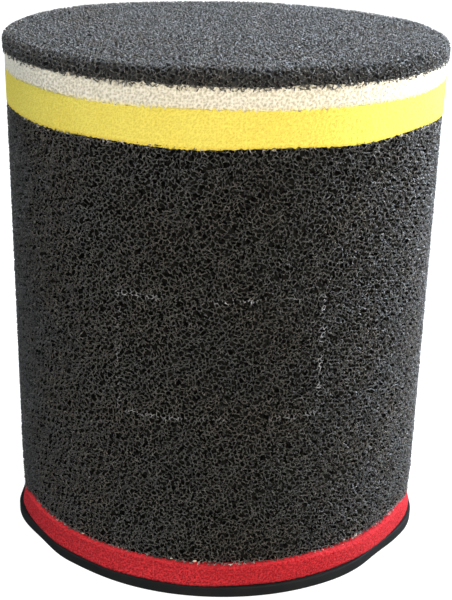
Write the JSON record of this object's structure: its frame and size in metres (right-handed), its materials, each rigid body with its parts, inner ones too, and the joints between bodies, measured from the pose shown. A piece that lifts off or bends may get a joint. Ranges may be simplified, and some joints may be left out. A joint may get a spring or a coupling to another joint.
{
  "type": "air filter",
  "caption": "Cylindrical triple-layer foam air filter with a closed top and a soft sealing base, standing over a welded wire support cage.",
  "frame": {"origin": "on the centre line, in the plane of the seal's underside, which the filter stands on", "axes": "+Z along the centre line towards the closed top; -Y is the front and +Y the glued seam at the back"},
  "size_m": [0.1296, 0.1296, 0.149],
  "materials": {
    "coarse_foam": "matte",
    "medium_foam": "matte",
    "fine_foam": "matte",
    "soft_ring_foam": "matte",
    "closed_cell_seal": "matte",
    "glue": "satin",
    "zinc_plated_steel": "satin"
  },
  "bodies": {
    "support_cage": {"cage_collar": "zinc_plated_steel", "cage_hoop_1": "zinc_plated_steel", "cage_hoop_2": "zinc_plated_steel", "cage_hoop_3": "zinc_plated_steel", "cage_hoop_4": "zinc_plated_steel", "cage_inner_top_ring": "zinc_plated_steel", "cage_outer_top_ring": "zinc_plated_steel", "cage_upright_01": "zinc_plated_steel", "cage_upright_02": "zinc_plated_steel", "cage_upright_03": "zinc_plated_steel", "cage_upright_04": "zinc_plated_steel", "cage_upright_05": "zinc_plated_steel", "cage_upright_06": "zinc_plated_steel", "cage_upright_07": "zinc_plated_steel", "cage_upright_08": "zinc_plated_steel", "cage_upright_09": "zinc_plated_steel", "cage_upright_10": "zinc_plated_steel"},
    "foam_element": {"base_seal_ring": "closed_cell_seal", "base_soft_ring": "soft_ring_foam", "base_glue_ring": "glue", "outer_coarse_sleeve": "coarse_foam", "middle_medium_sleeve": "medium_foam", "inner_fine_sleeve": "fine_foam", "seam_glue_strip": "glue", "top_glue_ring": "glue", "top_fine_disc": "fine_foam", "top_medium_disc": "medium_foam", "top_coarse_disc": "coarse_foam"}
  },
  "joints": [
    {"name": "element_lift", "type": "slide", "parent": "support_cage", "child": "foam_element", "axis": [0, 0, 1], "range_m": [0, 0.15]}
  ]
}
